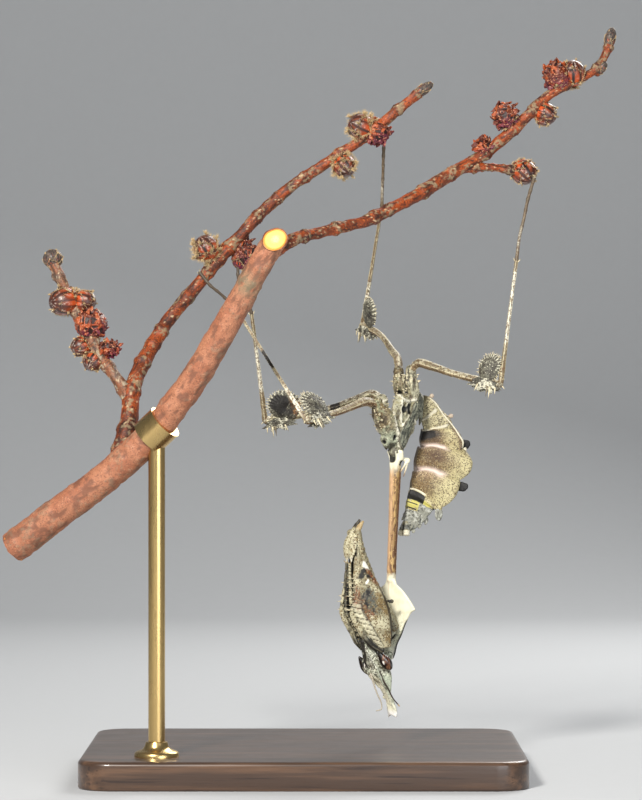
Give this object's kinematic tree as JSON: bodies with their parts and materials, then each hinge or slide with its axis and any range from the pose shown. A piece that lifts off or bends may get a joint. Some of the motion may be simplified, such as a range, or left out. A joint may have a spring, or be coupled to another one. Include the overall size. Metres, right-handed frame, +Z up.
{
  "type": "violin mantis nymph on a twig, museum model",
  "caption": "Still life-size model of a praying mantis nymph hanging head down from a forked budding twig, held by one rod above a flat base.",
  "frame": {"origin": "centre of the underside of the display base, where it rests on a table", "axes": "+Z up, +X to the right and +Y away from a viewer standing in front of the base's long edge"},
  "size_m": [0.1095, 0.0638, 0.1344],
  "materials": {
    "cuticle": "matt speckled cuticle",
    "shield": "smooth matt cuticle",
    "stalk": "satin cuticle",
    "eye": "glossy",
    "wing": "matt veined wing pad",
    "abdomen": "matt speckled cuticle",
    "bark": "natural bark",
    "base": "dark satin varnish",
    "rod": "brushed"
  },
  "bodies": {
    "root": {"abdomen_1": "abdomen", "abdomen_2": "abdomen", "abdomen_3": "abdomen", "abdomen_4": "abdomen", "abdomen_5": "abdomen", "abdomen_6": "abdomen", "abdomen_7": "abdomen", "abdomen_8": "abdomen", "antenna_left": "cuticle", "antenna_right": "cuticle", "cercus_left": "abdomen", "cercus_right": "abdomen", "crown": "cuticle", "eye_left": "eye", "eye_right": "eye", "fore_coxa_left": "cuticle", "fore_coxa_right": "cuticle", "fore_femur_left": "cuticle", "fore_femur_right": "cuticle", "fore_tarsus_left": "cuticle", "fore_tarsus_right": "cuticle", "fore_tibia_left": "cuticle", "fore_tibia_right": "cuticle", "head": "cuticle", "hind_coxa_left": "cuticle", "hind_coxa_right": "cuticle", "hind_femur_left": "cuticle", "hind_femur_right": "cuticle", "hind_tarsus_left": "cuticle", "hind_tarsus_right": "cuticle", "hind_tibia_left": "cuticle", "hind_tibia_right": "cuticle", "mid_coxa_left": "cuticle", "mid_coxa_right": "cuticle", "mid_femur_left": "cuticle", "mid_femur_right": "cuticle", "mid_tarsus_left": "cuticle", "mid_tarsus_right": "cuticle", "mid_tibia_left": "cuticle", "mid_tibia_right": "cuticle", "perch_stem": "bark", "perch_twig_left": "bark", "perch_twig_right": "bark", "perch_twig_upper": "bark", "prothorax_shield": "shield", "prothorax_stalk": "stalk", "stand_base": "base", "stand_rod": "rod", "stand_saddle": "rod", "thorax": "cuticle", "wing_pad_fore_left": "wing", "wing_pad_fore_right": "wing", "wing_pad_hind_left": "wing", "wing_pad_hind_right": "wing"}
  },
  "joints": []
}
